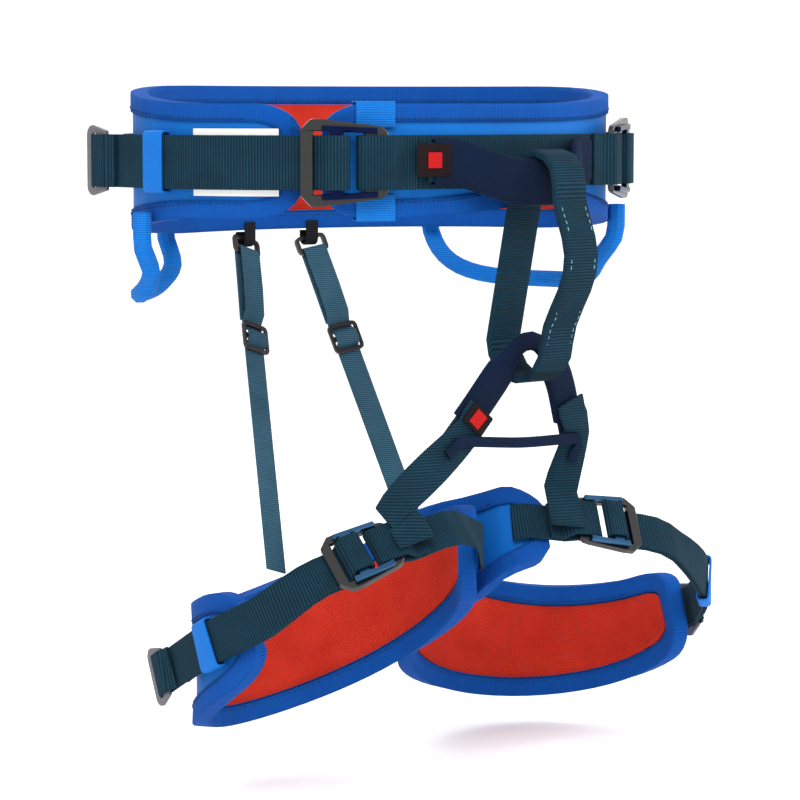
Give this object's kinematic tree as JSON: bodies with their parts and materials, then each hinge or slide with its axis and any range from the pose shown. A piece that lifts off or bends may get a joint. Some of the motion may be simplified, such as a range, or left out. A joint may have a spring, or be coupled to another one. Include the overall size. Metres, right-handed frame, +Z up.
{
  "type": "climbing harness",
  "caption": "Padded climbing harness: waist ring with slider buckles, belay loop, leg yoke and two padded leg loops held by elastic risers.",
  "frame": {"origin": "middle of the waist ring, at the height of the middle of its webbing", "axes": "+Z up along the wearer's body, -Y to the front where the belay loop hangs, +X to the wearer's left"},
  "size_m": [0.3016, 0.2463, 0.3225],
  "materials": {
    "shell_fabric": "woven, bright blue",
    "binding_tape": "folded tape, dark blue",
    "lining_mesh": "fine knit, red",
    "webbing": "ribbed webbing, dark teal",
    "sleeve_webbing": "tubular webbing, navy",
    "riser_elastic": "woven elastic, grey blue",
    "woven_label": "woven, near black",
    "care_label": "white satin tape",
    "buckle_frame": "gloss black",
    "waist_slider": "anodised navy",
    "leg_slider": "anodised steel blue",
    "tail_stop": "matt grey",
    "riser_hardware": "black nylon",
    "riser_tab_tape": "black tape"
  },
  "bodies": {
    "waist": {"waist_pad": "shell_fabric", "waist_lining": "lining_mesh", "waist_binding": "binding_tape", "waist_front_belt": "webbing", "care_label": "care_label", "pad_end_tab_top": "shell_fabric", "pad_end_tab_bottom": "shell_fabric", "upper_tie_in_sleeve": "sleeve_webbing", "upper_tie_in_webbing": "webbing", "upper_tie_in_label": "woven_label", "waist_buckle_frame_left": "buckle_frame", "waist_buckle_frame_right": "buckle_frame", "waist_adjusting_strap_left": "webbing", "waist_adjusting_strap_right": "webbing", "waist_tail_stop_left": "tail_stop", "waist_tail_stop_right": "tail_stop", "waist_keeper_left": "shell_fabric", "waist_keeper_right": "shell_fabric", "riser_tab_left": "riser_tab_tape", "riser_tab_right": "riser_tab_tape"},
    "waist_slider_left": {"waist_buckle_slider_left": "waist_slider"},
    "waist_slider_right": {"waist_buckle_slider_right": "waist_slider"},
    "belay_loop": {"belay_loop": "webbing"},
    "leg_loops": {"yoke_sleeve": "sleeve_webbing", "yoke_webbing": "webbing", "yoke_label": "woven_label", "cross_strap": "sleeve_webbing", "leg_front_strap_left": "webbing", "leg_front_strap_right": "webbing", "leg_inner_strap_left": "webbing", "leg_inner_strap_right": "webbing", "leg_adjusting_strap_left": "webbing", "leg_adjusting_strap_right": "webbing", "leg_buckle_frame_left": "buckle_frame", "leg_buckle_frame_right": "buckle_frame", "leg_tail_stop_left": "tail_stop", "leg_tail_stop_right": "tail_stop", "leg_keeper_left": "shell_fabric", "leg_keeper_right": "shell_fabric", "leg_pad_left": "shell_fabric", "leg_pad_right": "shell_fabric", "leg_lining_left": "lining_mesh", "leg_lining_right": "lining_mesh", "leg_binding_left": "binding_tape", "leg_binding_right": "binding_tape"},
    "leg_slider_left": {"leg_buckle_slider_left": "leg_slider"},
    "leg_slider_right": {"leg_buckle_slider_right": "leg_slider"},
    "riser_left": {"riser_ring_left": "riser_hardware", "riser_elastic_left": "riser_elastic"},
    "riser_right": {"riser_ring_right": "riser_hardware", "riser_elastic_right": "riser_elastic"},
    "riser_adjuster_left": {"riser_tri_glide_left": "riser_hardware"},
    "riser_adjuster_right": {"riser_tri_glide_right": "riser_hardware"},
    "gear_loop_left": {"gear_loop_left": "shell_fabric"},
    "gear_loop_right": {"gear_loop_right": "shell_fabric"}
  },
  "joints": [
    {"name": "waist_buckle_slide_left", "type": "slide", "parent": "waist", "child": "waist_slider_left", "axis": [-0.8419, -0.5396, 0], "range_m": [0, 0.0025], "deforming": ["waist_adjusting_strap_left"]},
    {"name": "waist_buckle_slide_right", "type": "slide", "parent": "waist", "child": "waist_slider_right", "axis": [0.8419, -0.5396, 0], "range_m": [0, 0.0025], "deforming": ["waist_adjusting_strap_right"]},
    {"name": "belay_loop_swing", "type": "hinge", "parent": "waist", "child": "belay_loop", "pos_m": [0, -0.122, -0.0094], "axis": [-1, 0, 0], "range_deg": [0, 35]},
    {"name": "leg_yoke_swing", "type": "hinge", "parent": "belay_loop", "child": "leg_loops", "pos_m": [0, -0.11, -0.0844], "axis": [-1, 0, 0], "range_deg": [-35, 0]},
    {"name": "leg_buckle_slide_left", "type": "slide", "parent": "leg_loops", "child": "leg_slider_left", "axis": [-0.9038, 0.4024, 0.1459], "range_m": [0, 0.0025], "deforming": ["leg_adjusting_strap_left"]},
    {"name": "leg_buckle_slide_right", "type": "slide", "parent": "leg_loops", "child": "leg_slider_right", "axis": [0.8399, -0.4279, 0.3338], "range_m": [0, 0.0025], "deforming": ["leg_adjusting_strap_right"]},
    {"name": "riser_swing_left", "type": "hinge", "parent": "waist", "child": "riser_left", "pos_m": [0.03271, 0.08934, -0.043], "axis": [-1, 0, 0], "range_deg": [0, 14]},
    {"name": "riser_swing_right", "type": "hinge", "parent": "waist", "child": "riser_right", "pos_m": [-0.00772, 0.09234, -0.043], "axis": [-1, 0, 0], "range_deg": [0, 14]},
    {"name": "riser_adjuster_slide_left", "type": "slide", "parent": "riser_left", "child": "riser_adjuster_left", "axis": [0.0883, -0.4122, -0.9068], "range_m": [-0.016, 0.03], "deforming": ["riser_elastic_left"]},
    {"name": "riser_adjuster_slide_right", "type": "slide", "parent": "riser_right", "child": "riser_adjuster_right", "axis": [-0.2505, -0.4417, -0.8615], "range_m": [-0.016, 0.03], "deforming": ["riser_elastic_right"]},
    {"name": "gear_loop_lift_left", "type": "hinge", "parent": "waist", "child": "gear_loop_left", "pos_m": [0.10919, 0.00868, -0.024], "axis": [0.1379, -0.9905, 0], "range_deg": [0, 50]},
    {"name": "gear_loop_lift_right", "type": "hinge", "parent": "waist", "child": "gear_loop_right", "pos_m": [-0.09752, 0.05219, -0.024], "axis": [0.684, 0.7295, 0], "range_deg": [0, 50]}
  ],
  "couplings": [
    {"joint": "leg_yoke_swing", "follows": "belay_loop_swing", "ratio": -1},
    {"joint": "riser_swing_left", "follows": "belay_loop_swing", "ratio": 0.39},
    {"joint": "riser_swing_right", "follows": "belay_loop_swing", "ratio": 0.39}
  ]
}
